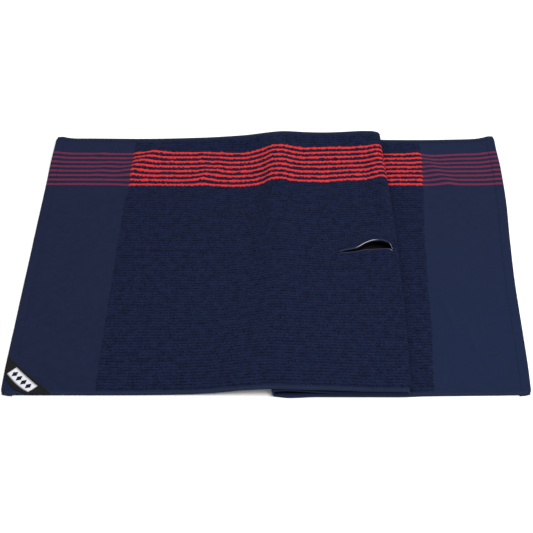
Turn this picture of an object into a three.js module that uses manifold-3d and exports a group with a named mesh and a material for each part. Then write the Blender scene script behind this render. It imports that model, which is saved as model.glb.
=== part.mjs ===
// Golf caddie towel: one length of woven cotton, laid in a flat three-layer Z with its right fold over
// the club slit. Each piece of cloth, hem, binding and thread row is cut flat, in cloth coordinates,
// and then laid along the folded path.
// Cloth coordinates: s runs along the towel from its left end, y across it, h up from the reverse
// side towards the face. Millimetres, +Z up, towel centred over the origin and lying on z = 0.
import * as THREE from "three";
import { mergeVertices } from "three/addons/utils/BufferGeometryUtils.js";
import Module from "manifold-3d";

const wasm = await Module();
wasm.setup();

// ---- Driving dimensions ----
const LENGTH = 1016;
const WIDTH = 508;
const LEFT_END_X = -333;
const SKEW = 7; // how far the back edge lies to the right of the front edge
const LOWER_SHIFT = -2.5; // the lower layer lies a little nearer the front

const TERRY = 2.2;
const FLAT_WEAVE = 1.2;
const HEM = 1.9;
const HEM_WIDTH = 6;
const END_HEM_WIDTH = 12;
const END_BORDER = 118;
const GAP = 0.3;

const THREAD = 0.4;
const THREAD_WIDTH = 0.6;
const STITCH_INSET = 1;

const SLIT_LENGTH = 168;
const SLIT_Y = -5;
const SLIT_HALF_GAP = 6.5; // widest half opening of the slit in the upper layer
const SLIT_HALF_GAP_MIDDLE = 5;
const SLIT_HALF_GAP_AT_FOLD = 0.8;
const BINDING = 0.8;
const BINDING_WIDTH = 10;
const BARTACK = [10, 2.4, 0.8];

const LABEL = 0.6;
const LABEL_REACH = 64; // where the label's inner edge meets the two towel edges
const LABEL_ARC_RADIUS = 57;
const LABEL_ARC_CENTRE = 52.8;
const BADGE_INNER = 55;
const BADGE_OUTER = 37;

// Widths of the cloth that turns round each fold, as stretches of s.
const RIGHT_FOLD = [496, 522];
const LEFT_FOLD = [672, 700];

// ---- The folded path of the reverse side, at the front edge and at the back edge ----
// Each run lists the heights that it swells through, with level tangents at each.
const FRONT_EDGE = {
  upper: [[-155, 0], [25, 11.9], [174.6, 6.9]],
  rightFoldRadius: 1,
  middle: [[90, 4.9]],
  leftFold: { x: 10.5, radius: 5.2 },
};
const BACK_EDGE = {
  upper: [[-165, 0], [14, 14.7], [80, 11.6], [163.5, 16.6]],
  rightFoldRadius: 5,
  middle: [[95, 5.2]],
  leftFold: { x: 8.3, radius: 6.5 },
};
const TANGENT_SHARE = 0.42;

// A run of cubic curves through the knots, level at each of them.
function addRun(path, knots) {
  for (let i = 1; i < knots.length; i++) {
    const [x0, z0] = knots[i - 1];
    const [x1, z1] = knots[i];
    const reach = (x1 - x0) * TANGENT_SHARE;
    path.add(new THREE.CubicBezierCurve(
      new THREE.Vector2(x0, z0),
      new THREE.Vector2(x0 + reach, z0),
      new THREE.Vector2(x1 - reach, z1),
      new THREE.Vector2(x1, z1),
    ));
  }
}

function foldedPath(edge) {
  const path = new THREE.CurvePath();
  const [rampX] = edge.upper[0];
  path.add(new THREE.LineCurve(new THREE.Vector2(LEFT_END_X, 0), new THREE.Vector2(rampX, 0)));
  addRun(path, edge.upper);

  const [foldX, foldZ] = edge.upper.at(-1);
  const r = edge.rightFoldRadius;
  path.add(new THREE.EllipseCurve(foldX, foldZ - r, r, r, Math.PI / 2, -Math.PI / 2, true));

  const { x, radius } = edge.leftFold;
  addRun(path, [[foldX, foldZ - 2 * r], ...edge.middle, [x, 2 * radius]]);
  path.add(new THREE.EllipseCurve(x, radius, radius, radius, Math.PI / 2, Math.PI * 1.5, false));

  const lowerRun = LENGTH - path.getLength();
  path.add(new THREE.LineCurve(new THREE.Vector2(x, 0), new THREE.Vector2(x + lowerRun, 0)));
  path.arcLengthDivisions = 3000;
  path.updateArcLengths();
  return path;
}
const frontPath = foldedPath(FRONT_EDGE);
const backPath = foldedPath(BACK_EDGE);

// The point at distance s along a path, moved h towards the face.
function alongPath(path, s, h) {
  const t = THREE.MathUtils.clamp(s / LENGTH, 0, 1);
  const point = path.getPointAt(t);
  const tangent = path.getTangentAt(t);
  return new THREE.Vector2(point.x - tangent.y * h, point.y + tangent.x * h);
}

function lay(s, y, h) {
  const back = y / WIDTH + 0.5;
  const section = alongPath(frontPath, s, h).lerp(alongPath(backPath, s, h), back);
  const shift = LOWER_SHIFT * THREE.MathUtils.smoothstep(s, RIGHT_FOLD[0], LEFT_FOLD[1]);
  return new THREE.Vector3(section.x + SKEW * (back - 0.5), y + shift, section.y);
}

// Bends a geometry made in cloth coordinates onto the folded path.
function laid(geometry) {
  const bare = geometry.clone();
  bare.deleteAttribute("normal");
  bare.deleteAttribute("uv");
  const cloth = mergeVertices(bare, 1e-4);
  const position = cloth.getAttribute("position");
  for (let i = 0; i < position.count; i++) {
    const world = lay(position.getX(i), position.getY(i), position.getZ(i));
    position.setXYZ(i, world.x, world.y, world.z);
  }
  return cloth;
}

// ---- Flat-cut shapes in cloth coordinates ----
const STEP_ALONG = 12;
const STEP_ROUND_FOLD = 1.6;
const STEPS_ACROSS = 4;

function strip([s0, s1], [y0, y1], [h0, h1], step = STEP_ALONG) {
  const along = Math.max(2, Math.ceil((s1 - s0) / step));
  const across = Math.max(1, Math.ceil(((y1 - y0) / WIDTH) * STEPS_ACROSS));
  return new THREE.BoxGeometry(s1 - s0, y1 - y0, h1 - h0, along, across, 1).translate(
    (s0 + s1) / 2,
    (y0 + y1) / 2,
    (h0 + h1) / 2,
  );
}

// Half the slit's opening at s: widest mid-way along each layer, narrow at the fold, shut at its tips.
const SLIT_CENTRE = (RIGHT_FOLD[0] + RIGHT_FOLD[1]) / 2;
function slitHalfGap(s) {
  const along = Math.abs(s - SLIT_CENTRE) / (SLIT_LENGTH / 2);
  const widest = s < SLIT_CENTRE ? SLIT_HALF_GAP : SLIT_HALF_GAP_MIDDLE;
  const eye = Math.sin(Math.PI * Math.min(along, 1));
  return widest * eye + SLIT_HALF_GAP_AT_FOLD * (1 - along);
}

// The outline of one layer's slit grown by a margin, open at the fold.
function slitOutline(tipS, foldS, margin) {
  const outline = new THREE.Shape();
  const outward = Math.sign(tipS - foldS);
  const steps = 16;
  for (let i = 0; i <= steps; i++) {
    const s = THREE.MathUtils.lerp(foldS, tipS, i / steps);
    const y = SLIT_Y - slitHalfGap(s) - margin;
    if (i === 0) outline.moveTo(s, y);
    else outline.lineTo(s, y);
  }
  outline.lineTo(tipS + outward * margin, SLIT_Y);
  for (let i = steps; i >= 0; i--) {
    const s = THREE.MathUtils.lerp(foldS, tipS, i / steps);
    outline.lineTo(s, SLIT_Y + slitHalfGap(s) + margin);
  }
  return outline;
}

function prism(shape, [h0, h1]) {
  const options = { depth: h1 - h0, bevelEnabled: false, curveSegments: 12 };
  return new THREE.ExtrudeGeometry(shape, options).translate(0, 0, h0);
}

// ---- Booleans ----
function toSolid(geometry) {
  const bare = geometry.clone();
  bare.deleteAttribute("normal");
  bare.deleteAttribute("uv");
  const merged = mergeVertices(bare, 1e-4);
  return new wasm.Manifold(new wasm.Mesh({
    numProp: 3,
    vertProperties: merged.getAttribute("position").array,
    triVerts: new Uint32Array(merged.index.array),
  }));
}

function toGeometry(solid) {
  const mesh = solid.getMesh();
  const geometry = new THREE.BufferGeometry();
  geometry.setAttribute("position", new THREE.BufferAttribute(mesh.vertProperties, 3));
  geometry.setIndex(new THREE.BufferAttribute(mesh.triVerts, 1));
  return geometry;
}

const cut = (geometry, tool) => toGeometry(toSolid(geometry).subtract(toSolid(tool)));
const common = (geometry, tool) => toGeometry(toSolid(geometry).intersect(toSolid(tool)));

// ---- Materials ----
const cloth = (color, roughness = 0.95) => new THREE.MeshStandardMaterial({ color, roughness, metalness: 0 });
const navyTerry = cloth(0x1c223a);
const navyFlat = cloth(0x252d48);
const navyHem = cloth(0x2c3858);
const navyThread = cloth(0x222a44, 0.7);
const blackTape = cloth(0x141416, 0.85);
const labelBlack = cloth(0x19191c, 0.8);
const badgeWhite = cloth(0xe9e9ea, 0.8);

// ---- The towel ----
const towel = new THREE.Group();
function add(name, geometry, material) {
  const mesh = new THREE.Mesh(geometry, material);
  mesh.name = name;
  towel.add(mesh);
  return mesh;
}

const edge = WIDTH / 2;
const field = [-edge + HEM_WIDTH + GAP, edge - HEM_WIDTH - GAP];
const frontHem = [-edge, -edge + HEM_WIDTH];
const backHem = [edge - HEM_WIDTH, edge];
const terry = [0, TERRY];
const borders = {
  left: [END_HEM_WIDTH + GAP, END_BORDER],
  right: [LENGTH - END_BORDER, LENGTH - END_HEM_WIDTH - GAP],
};
const runs = {
  upper: [END_BORDER + GAP, RIGHT_FOLD[0] - GAP],
  middle: [RIGHT_FOLD[1] + GAP, LEFT_FOLD[0] - GAP],
  lower: [LEFT_FOLD[1] + GAP, LENGTH - END_BORDER - GAP],
};
const hemRuns = {
  upper: [END_HEM_WIDTH + GAP, runs.upper[1]],
  middle: runs.middle,
  lower: [runs.lower[0], LENGTH - END_HEM_WIDTH - GAP],
};

// The tools that open the slit stand right through a layer in cloth coordinates.
const THROUGH = [-5, 8];
const slitTips = { upper: SLIT_CENTRE - SLIT_LENGTH / 2, middle: SLIT_CENTRE + SLIT_LENGTH / 2 };
function slitTool(layer, foldS, margin = 0) {
  return prism(slitOutline(slitTips[layer], foldS, margin), THROUGH);
}

// Cuts in cloth coordinates and splits the result into short steps, so that it bends smoothly.
function stepped(flat, [s0, s1], step) {
  const count = Math.ceil((s1 - s0) / step);
  const slices = [];
  for (let i = 0; i < count; i++) {
    const from = THREE.MathUtils.lerp(s0, s1, i / count);
    const to = THREE.MathUtils.lerp(s0, s1, (i + 1) / count);
    const slab = strip([from, to], [-WIDTH, WIDTH], THROUGH, step);
    slices.push(toSolid(common(flat, slab)));
  }
  return slices;
}

function buildTerry() {
  const upper = cut(strip(runs.upper, field, terry), slitTool("upper", RIGHT_FOLD[0] + 1));
  add("upper_terry", laid(upper), navyTerry);
  const middle = cut(strip(runs.middle, field, terry), slitTool("middle", RIGHT_FOLD[1] - 1));
  add("middle_terry", laid(middle), navyTerry);
  add("lower_terry", laid(strip(runs.lower, field, terry)), navyTerry);
  const lips = [SLIT_Y - SLIT_HALF_GAP_AT_FOLD, SLIT_Y + SLIT_HALF_GAP_AT_FOLD];
  const bend = STEP_ROUND_FOLD;
  add("upper_fold_terry_front", laid(strip(RIGHT_FOLD, [field[0], lips[0]], terry, bend)), navyTerry);
  add("upper_fold_terry_back", laid(strip(RIGHT_FOLD, [lips[1], field[1]], terry, bend)), navyTerry);
  add("lower_fold_terry", laid(strip(LEFT_FOLD, field, terry, bend)), navyTerry);
}

function buildEndBorders() {
  const flat = [0, FLAT_WEAVE];
  add("left_end_border", laid(strip(borders.left, field, flat)), navyFlat);
  add("right_end_border", laid(strip(borders.right, field, flat)), navyFlat);
  add("left_end_hem", laid(strip([0, END_HEM_WIDTH], [-edge, edge], [0, HEM])), navyHem);
  add("right_end_hem", laid(strip([LENGTH - END_HEM_WIDTH, LENGTH], [-edge, edge], [0, HEM])), navyHem);
}

function buildLongHems() {
  for (const [side, width] of [["front", frontHem], ["back", backHem]]) {
    for (const layer of ["upper", "middle", "lower"]) {
      add(`${side}_hem_${layer}`, laid(strip(hemRuns[layer], width, [0, HEM])), navyHem);
    }
    add(`${side}_hem_upper_fold`, laid(strip(RIGHT_FOLD, width, [0, HEM], STEP_ROUND_FOLD)), navyHem);
    add(`${side}_hem_lower_fold`, laid(strip(LEFT_FOLD, width, [0, HEM], STEP_ROUND_FOLD)), navyHem);
  }
}

// Thread rows lie on the face, but on the reverse in the middle layer, whose face is pressed down.
// The label covers the first stretch of the rows that meet at its corner.
function buildStitching() {
  const onFace = [HEM + GAP, HEM + GAP + THREAD];
  const onReverse = [-GAP - THREAD, -GAP];
  const inset = HEM_WIDTH - STITCH_INSET;
  const rows = {
    front: [-edge + inset - THREAD_WIDTH, -edge + inset],
    back: [edge - inset, edge - inset + THREAD_WIDTH],
  };
  for (const side of ["front", "back"]) {
    for (const layer of ["upper", "middle", "lower"]) {
      const lift = layer === "middle" ? onReverse : onFace;
      const [from, to] = hemRuns[layer];
      const start = side === "front" && layer === "upper" ? LABEL_REACH + GAP : from;
      add(`${side}_stitching_${layer}`, laid(strip([start, to], rows[side], lift)), navyThread);
    }
  }
  const across = [-edge + HEM_WIDTH, edge - HEM_WIDTH];
  const acrossFromLabel = [-edge + LABEL_REACH + GAP, across[1]];
  const row = END_HEM_WIDTH - STITCH_INSET;
  const left = [row - THREAD_WIDTH, row];
  const right = [LENGTH - row, LENGTH - row + THREAD_WIDTH];
  add("left_end_stitching", laid(strip(left, acrossFromLabel, onFace)), navyThread);
  add("right_end_stitching", laid(strip(right, across, onFace)), navyThread);
}

// Black tape faces the reverse side round each half of the slit, and turns the fold as two straps.
function bindingRing(layer, foldS) {
  const lift = [-GAP - BINDING, -GAP];
  const outer = prism(slitOutline(slitTips[layer], foldS, BINDING_WIDTH), lift);
  return cut(outer, slitTool(layer, foldS + Math.sign(foldS - slitTips[layer]), 0));
}

function buildSlitBinding() {
  const step = 8;
  for (const [layer, foldS] of [["upper", runs.upper[1]], ["middle", runs.middle[0]]]) {
    const ring = bindingRing(layer, foldS);
    const tip = slitTips[layer] + Math.sign(slitTips[layer] - foldS) * BINDING_WIDTH;
    const span = [Math.min(foldS, tip), Math.max(foldS, tip)];
    const joined = stepped(ring, span, step).reduce((whole, slice) => whole.add(slice));
    add(`slit_binding_${layer}`, laid(toGeometry(joined)), blackTape);
  }
  const lift = [-GAP - BINDING, -GAP];
  const lip = SLIT_HALF_GAP_AT_FOLD;
  const front = [SLIT_Y - lip - BINDING_WIDTH, SLIT_Y - lip];
  const back = [SLIT_Y + lip, SLIT_Y + lip + BINDING_WIDTH];
  add("slit_binding_fold_front", laid(strip(RIGHT_FOLD, front, lift, STEP_ROUND_FOLD)), blackTape);
  add("slit_binding_fold_back", laid(strip(RIGHT_FOLD, back, lift, STEP_ROUND_FOLD)), blackTape);
}

function buildBartacks() {
  const [long, wide, high] = BARTACK;
  const across = [SLIT_Y - wide / 2, SLIT_Y + wide / 2];
  const upperTip = slitTips.upper;
  const middleTip = slitTips.middle;
  const onFace = [TERRY + GAP, TERRY + GAP + high];
  const onReverse = [-2 * GAP - BINDING - high, -2 * GAP - BINDING];
  add("slit_bartack_upper", laid(strip([upperTip - long, upperTip], across, onFace)), blackTape);
  add("slit_bartack_middle", laid(strip([middleTip, middleTip + long], across, onReverse)), blackTape);
}

// The label covers the corner between a round outer edge and a straight inner edge.
function labelOutline(inset) {
  const radius = LABEL_ARC_RADIUS - inset;
  const near = inset;
  const reach = LABEL_REACH - inset * Math.SQRT2;
  const drop = Math.acos((LABEL_ARC_CENTRE - near) / radius);
  const outline = new THREE.Shape();
  outline.moveTo(reach - near, near);
  outline.lineTo(near, reach - near);
  outline.absarc(LABEL_ARC_CENTRE, LABEL_ARC_CENTRE, radius, Math.PI + drop, Math.PI * 1.5 - drop, false);
  outline.closePath();
  return outline;
}

function badgeOutline() {
  const outline = new THREE.Shape();
  const half = 21;
  const middle = (sum, along) => new THREE.Vector2((sum + along) / 2, (sum - along) / 2);
  const bow = 5;
  const corners = [middle(BADGE_INNER, -half * 1.5), middle(BADGE_INNER, half * 1.5)];
  const outer = [middle(BADGE_OUTER, half * 1.4), middle(BADGE_OUTER, -half * 1.4)];
  outline.moveTo(corners[0].x, corners[0].y);
  const innerBow = middle(BADGE_INNER + bow, 0);
  outline.quadraticCurveTo(innerBow.x, innerBow.y, corners[1].x, corners[1].y);
  outline.lineTo(outer[0].x, outer[0].y);
  const outerBow = middle(BADGE_OUTER - bow, 0);
  outline.quadraticCurveTo(outerBow.x, outerBow.y, outer[1].x, outer[1].y);
  outline.closePath();
  return outline;
}

function buildLabel() {
  const toCorner = (geometry) => geometry.translate(0, -edge, 0);
  const patch = [HEM + GAP, HEM + GAP + LABEL];
  const onPatch = [patch[1] + GAP, patch[1] + GAP + THREAD];
  add("label_patch", laid(toCorner(prism(labelOutline(0.2), patch))), labelBlack);
  add("label_badge", laid(toCorner(prism(badgeOutline(), onPatch))), badgeWhite);
  const row = labelOutline(1.4);
  row.holes.push(new THREE.Path(labelOutline(1.4 + THREAD_WIDTH).getPoints(12)));
  add("label_stitching", laid(toCorner(prism(row, onPatch))), navyThread);
}

buildTerry();
buildEndBorders();
buildLongHems();
buildStitching();
buildSlitBinding();
buildBartacks();
buildLabel();

// Centre the towel's footprint over the origin.
const box = new THREE.Box3().setFromObject(towel);
const centre = box.getCenter(new THREE.Vector3());
towel.position.set(-centre.x, -centre.y, -box.min.z);

export default towel;
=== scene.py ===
"""Golf caddie towel, laid in a flat three-layer Z: cloth, hems, stitching, slit facing and corner label.

Every piece is cut flat in cloth coordinates and then laid along the folded path of the towel.
Cloth coordinates: s runs along the towel from its left end, y across it from front to back, and h
up from the reverse side towards the face. All lengths are in metres.
"""

import math

import bmesh
import bpy
import numpy as np
from bpy.props import FloatProperty, FloatVectorProperty, IntProperty, PointerProperty
from mathutils import Matrix, Vector


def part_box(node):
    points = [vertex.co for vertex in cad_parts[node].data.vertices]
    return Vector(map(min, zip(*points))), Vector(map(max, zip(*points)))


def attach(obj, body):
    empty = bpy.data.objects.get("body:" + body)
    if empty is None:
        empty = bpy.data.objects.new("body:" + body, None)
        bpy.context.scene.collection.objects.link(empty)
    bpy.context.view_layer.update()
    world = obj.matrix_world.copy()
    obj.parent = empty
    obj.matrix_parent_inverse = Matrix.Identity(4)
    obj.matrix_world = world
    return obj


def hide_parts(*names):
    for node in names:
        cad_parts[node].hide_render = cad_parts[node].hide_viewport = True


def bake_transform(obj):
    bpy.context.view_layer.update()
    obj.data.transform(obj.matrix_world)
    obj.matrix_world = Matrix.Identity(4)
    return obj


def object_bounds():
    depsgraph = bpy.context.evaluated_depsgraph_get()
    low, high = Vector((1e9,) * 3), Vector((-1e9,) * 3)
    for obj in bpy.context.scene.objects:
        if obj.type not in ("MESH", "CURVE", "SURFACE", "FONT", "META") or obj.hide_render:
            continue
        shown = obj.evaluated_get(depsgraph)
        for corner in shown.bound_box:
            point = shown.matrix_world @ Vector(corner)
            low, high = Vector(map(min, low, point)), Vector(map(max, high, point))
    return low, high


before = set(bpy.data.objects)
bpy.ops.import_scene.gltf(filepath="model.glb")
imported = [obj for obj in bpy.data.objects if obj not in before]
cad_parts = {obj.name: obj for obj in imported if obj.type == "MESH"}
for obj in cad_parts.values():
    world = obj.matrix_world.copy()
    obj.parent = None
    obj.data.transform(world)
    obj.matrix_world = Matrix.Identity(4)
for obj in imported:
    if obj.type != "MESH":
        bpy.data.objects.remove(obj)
CAD_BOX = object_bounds()

bl_info = {
    "name": "Golf Towel",
    "version": (1, 0, 0),
    "blender": (4, 5, 0),
    "location": "View3D > Sidebar > Golf Towel",
    "description": "Builds a folded golf towel round its packed frame",
    "category": "Add Mesh",
}

# ---- Sizes of the cloth, shared with the frame ----
LENGTH = 1.016
WIDTH = 0.508
EDGE = WIDTH / 2
END_BORDER = 0.118
END_HEM = 0.0135
HEM_WIDTH = 0.006
SKEW = 0.007  # how far the back edge lies to the right of the front edge
SLIT_CENTRE = 0.509  # the right fold runs over it
SLIT_HALF = 0.084
SLIT_Y = -0.005
SLIT_TIPS = (SLIT_CENTRE - SLIT_HALF, SLIT_CENTRE + SLIT_HALF)

# Where the frame lies: its left end hem's lowest corner is the cloth's front left corner.
LEFT_END_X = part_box("left_end_hem")[0].x + SKEW / 2
MIDDLE_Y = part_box("left_end_hem")[0].y + EDGE

# The pieces of cloth meet just past each fold, out of sight.
UPPER_END = 0.519
MIDDLE_END = 0.6695


# ---- Settings that a user would change ----
def length(name, default, low, high, description):
    return FloatProperty(
        name=name, description=description, default=default, min=low, max=high, unit="LENGTH")


def colour(name, default, description):
    return FloatVectorProperty(
        name=name, description=description, default=default, min=0, max=1, size=3, subtype="COLOR")


class TowelSizes(bpy.types.PropertyGroup):
    terry: length("Terry Thickness", 0.0028, 0.001, 0.006, "Height of the terry to the tops of its loops")
    flat_weave: length("Flat Weave Thickness", 0.0013, 0.0005, 0.003, "Thickness of the flat-woven ends")
    hem: length("Hem Thickness", 0.0023, 0.001, 0.005, "Thickness of the turned and stitched hems")
    rib_pitch: length("Rib Pitch", 0.0050, 0.002, 0.01, "Distance from one row of loops to the next")
    rib_depth: length("Rib Depth", 0.0006, 0.0, 0.002, "Depth of the valleys between rows of loops")
    stitch: length("Stitch Length", 0.0030, 0.001, 0.006, "Length of one lockstitch along a hem")
    stripes: IntProperty(
        name="Stripes", description="Number of coloured stripes along the back edge",
        default=8, min=1, max=12)
    stripe_inset: length("Stripe Inset", 0.0366, 0.01, 0.1, "From the back edge to the first stripe's middle")


class TowelColours(bpy.types.PropertyGroup):
    terry: colour("Terry", (0.0047, 0.0073, 0.0230), "Colour of the terry loops")
    flat_weave: colour("Flat Weave", (0.0072, 0.0107, 0.0300), "Colour of the flat-woven ends")
    hem: colour("Hem", (0.0090, 0.0145, 0.0375), "Colour of the hems")
    stripe: colour("Stripe", (0.60, 0.029, 0.026), "Colour of the stripes in the terry")
    faded_stripe: colour("Flat Stripe", (0.118, 0.0160, 0.0400), "Colour of the stripes in the flat weave")
    tape: colour("Facing Tape", (0.006, 0.006, 0.007), "Colour of the tape round the slit")
    badge: colour("Badge", (0.60, 0.60, 0.66), "Colour of the badge on the label")


def sizes():
    return bpy.context.scene.towel_sizes


def colours():
    return bpy.context.scene.towel_colours


# ---- The folded path of the reverse side ----
# Heights of the reverse side above the surface, in millimetres. Each row is a line along the towel
# at one fraction of the width, from the front edge to the back edge.
ACROSS = (0.0, 0.45, 0.79, 0.93, 1.0)
UPPER_X = (-333, -170, -110, -75, -45, -30, -15, 0, 12, 27, 45, 75, 105, 135)
UPPER_Z = (
    (0, 0, 0.9, 2.9, 6.6, 8.8, 10.3, 11.3, 11.8, 11.2, 10.4, 9.6, 8.1, 6.6),
    (0, 0, 0, 0.3, 1.4, 3.2, 7.0, 11.5, 12.6, 11.4, 9.7, 8.6, 8.8, 9.6),
    (0, 0, 0, 0, 0, 0.5, 4.2, 12.8, 13.3, 9.0, 6.9, 6.9, 8.0, 9.3),
    (0, 0, 0.1, 0, 0, 2.8, 8.2, 15.2, 15.6, 12.4, 9.9, 10.2, 9.8, 11.6),
    (0, 0, 1.2, 3.3, 5.9, 8.0, 10.5, 12.6, 13.6, 13.1, 11.7, 10.8, 11.9, 13.6),
)
MIDDLE_X = (27, 45, 62, 80, 100)
MIDDLE_Z = (
    (10.2, 9.0, 7.2, 5.6, 4.9),
    (10.6, 8.6, 6.6, 5.4, 5.1),
    (8.4, 6.2, 5.5, 5.2, 5.2),
    (11.7, 9.0, 6.8, 5.4, 5.2),
    (12.0, 9.4, 7.0, 5.4, 5.2),
)
RIGHT_X = (181.6, 173.3, 160.0, 154.6, 153.8)
RIGHT_TOP = (6.2, 10.5, 15.5, 15.0, 13.4)
RIGHT_RADIUS = (0.7, 2.6, 5.0, 4.9, 4.2)
LEFT_X = (11.5, 9.5, 8.8, 8.5, 8.3)
LEFT_RADIUS = (5.2, 5.8, 6.2, 6.4, 6.5)
LEFT_FOLD_END = 0.692
PATH_STEPS = 40
FRAME_LEFT_X = -0.333  # the left end that the lines above are measured to


def smoothstep(low, high, value):
    t = np.clip((value - low) / (high - low), 0, 1)
    return t * t * (3 - 2 * t)


def bump(value, centre, width):
    return np.exp(-(((value - centre) / width) ** 2))


def smooth_line(at, places, heights):
    """A smooth curve through the given heights that never swings past them."""
    x, z = np.array(places, float), np.array(heights, float)
    step, rise = np.diff(x), np.diff(z)
    slope = rise / step
    same = slope[:-1] * slope[1:] > 0
    steep = np.abs(slope[:-1] + slope[1:]) + 1e-12
    lean = np.zeros(len(x))
    lean[1:-1] = np.where(same, 2 * slope[:-1] * slope[1:] / steep * np.sign(slope[1:]), 0)
    at = np.clip(at, x[0], x[-1])
    i = np.clip(np.searchsorted(x, at) - 1, 0, len(step) - 1)
    u = (at - x[i]) / step[i]
    start, end = lean[i] * step[i], lean[i + 1] * step[i]
    return (z[i] + start * u + (3 * rise[i] - 2 * start - end) * u ** 2
            + (start + end - 2 * rise[i]) * u ** 3)


def across(values, t):
    """One value per line of the towel, at the fraction t of the width."""
    return float(smooth_line(np.array([t]), ACROSS, values)[0])


def half_turn(x, z, radius, side):
    """A half circle down from (x, z), round the right side or the left side."""
    angle = np.linspace(0, math.pi, PATH_STEPS)
    return x + side * radius * np.sin(angle), z - radius + radius * np.cos(angle)


_paths = {}


def path_at(t):
    """Cloth places, points and tangents along the folded path at the fraction t across the towel."""
    key = round(float(t), 5)
    if key in _paths:
        return _paths[key]
    right, top, radius = (across(v, t) for v in (RIGHT_X, RIGHT_TOP, RIGHT_RADIUS))
    left, left_radius = across(LEFT_X, t), across(LEFT_RADIUS, t)
    upper_z = [across([row[i] for row in UPPER_Z], t) for i in range(len(UPPER_X))]
    middle_z = [across([row[i] for row in MIDDLE_Z], t) for i in range(len(MIDDLE_X))]

    runs = []
    x = np.linspace(UPPER_X[0], right, 8 * PATH_STEPS)
    runs.append((x, smooth_line(x, (*UPPER_X, right), (*upper_z, top))))
    runs.append(half_turn(right, top, radius, 1))
    x = np.linspace(left, right, 4 * PATH_STEPS)
    z = smooth_line(x, (left, *MIDDLE_X, right), (2 * left_radius, *middle_z, top - 2 * radius))
    runs.append((x[::-1], z[::-1]))
    runs.append(half_turn(left, 2 * left_radius, left_radius, -1))
    x = np.linspace(left, -UPPER_X[0], 2 * PATH_STEPS)
    runs.append((x, np.zeros(len(x))))

    lengths = [np.hypot(np.diff(x), np.diff(z)).sum() / 1000 for x, z in runs]
    stops = [0, lengths[0], lengths[0] + lengths[1], LEFT_FOLD_END - lengths[3], LEFT_FOLD_END, LENGTH]
    places, points = [], []
    for (x, z), low, high in zip(runs, stops, stops[1:]):
        gone = np.concatenate([[0], np.cumsum(np.hypot(np.diff(x), np.diff(z)))])
        places.append(low + (high - low) * gone[1:] / gone[-1])
        points.append(np.column_stack([x, z])[1:] / 1000)
    places = np.concatenate([[0], *places])
    points = np.vstack([[[FRAME_LEFT_X, 0]], *points])
    tangents = np.gradient(points, places, axis=0)
    tangents /= np.linalg.norm(tangents, axis=1, keepdims=True)
    _paths[key] = (places, points, tangents)
    return _paths[key]


# ---- Small shapes of the laid cloth ----
def ridge(x, y, start, end, width):
    """A soft ridge 1 high along the line from start to end."""
    start, end = np.array(start), np.array(end)
    along = end - start
    share = np.clip(((x - start[0]) * along[0] + (y - start[1]) * along[1]) / (along @ along), 0, 1)
    away = np.hypot(x - start[0] - share * along[0], y - start[1] - share * along[1])
    return bump(away, 0, width)


def flat_x(s):
    """Roughly where the cloth at s lies from left to right, for the upper layer and the right end."""
    return np.where(s < 0.6, s + FRAME_LEFT_X, s - LENGTH - FRAME_LEFT_X)


def swells(s, y):
    """Soft ridges that lift the cloth a little off what is below."""
    x = flat_x(s)
    upper = s < 0.4
    lower = s > 0.8
    lift = 0
    for where, height, start, end, width in (
            (upper, 0.0042, (-0.214, 0.176), (-0.180, 0.221), 0.014),
            (upper, 0.0028, (-0.106, 0.160), (-0.094, 0.172), 0.012),
            (upper, 0.0012, (-0.102, 0.150), (-0.106, 0.212), 0.007),
            (upper, 0.0012, (-0.080, 0.172), (-0.084, 0.204), 0.007),
            (upper, 0.0012, (-0.262, 0.170), (-0.246, 0.196), 0.008),
            (lower, 0.0030, (0.207, 0.222), (0.251, 0.150), 0.012)):
        lift = lift + where * height * ridge(x, y, start, end, width)
    lift += upper * 0.0030 * (1 - smoothstep(0.0, 0.030, s)) * smoothstep(0.150, 0.235, y)
    lift += lower * 0.0024 * smoothstep(LENGTH - 0.030, LENGTH, s) * smoothstep(0.110, 0.200, y)
    gentle = np.sin(38 * x + 21 * y) * np.sin(29 * y - 17 * x + 1.0)
    lift += (upper | lower) * 0.0004 * (1 + gentle) * smoothstep(0.0, 0.03, EDGE - np.abs(y))
    return lift


def wrinkles(s, y):
    """The faint raised wrinkles of the flat ends."""
    x = flat_x(s)
    left, right = s < 0.12, s > 0.8
    lift = 0
    for end, start, stop, height in ((right, (0.234, -0.084), (0.246, -0.140), 0.0011),
                                     (right, (0.228, -0.080), (0.240, -0.126), 0.0009),
                                     (right, (0.262, -0.136), (0.270, -0.178), 0.0010),
                                     (left, (-0.296, -0.160), (-0.268, -0.138), 0.0006),
                                     (left, (-0.300, -0.134), (-0.280, -0.122), 0.0005),
                                     (left, (-0.276, 0.208), (-0.236, 0.238), 0.0008)):
        lift = lift + end * height * ridge(x, y, start, stop, 0.0030)
    return lift


def pressed_line(s, y):
    """1 along the line pressed into the pile near mid-width, when the towel was folded in half."""
    x = 1000 * (s + FRAME_LEFT_X)
    line = smooth_line(x, (-155, -30, 85), (3.0, -4.5, -7.8)) / 1000
    ends = smoothstep(0.13, 0.18, s) * (1 - smoothstep(0.40, 0.43, s))
    return bump(y - line, 0, 0.003) * ends


def corner_lift(s, y):
    """The outer corners curl up off the surface, and the back corner of the right fold droops."""
    lift = 0
    for corner_s, corner_y, height in ((0, EDGE, 0.0008), (LENGTH, EDGE, 0.0016),
                                       (0, -EDGE, 0.0006), (LENGTH, -EDGE, 0.0006)):
        distance = np.hypot(s - corner_s, y - corner_y)
        lift = lift + height * bump(distance, 0, 0.015)
    at_fold = np.hypot(s - 0.4900, y - EDGE)
    return lift - 0.0018 * bump(at_fold, 0, 0.0050)


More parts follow.
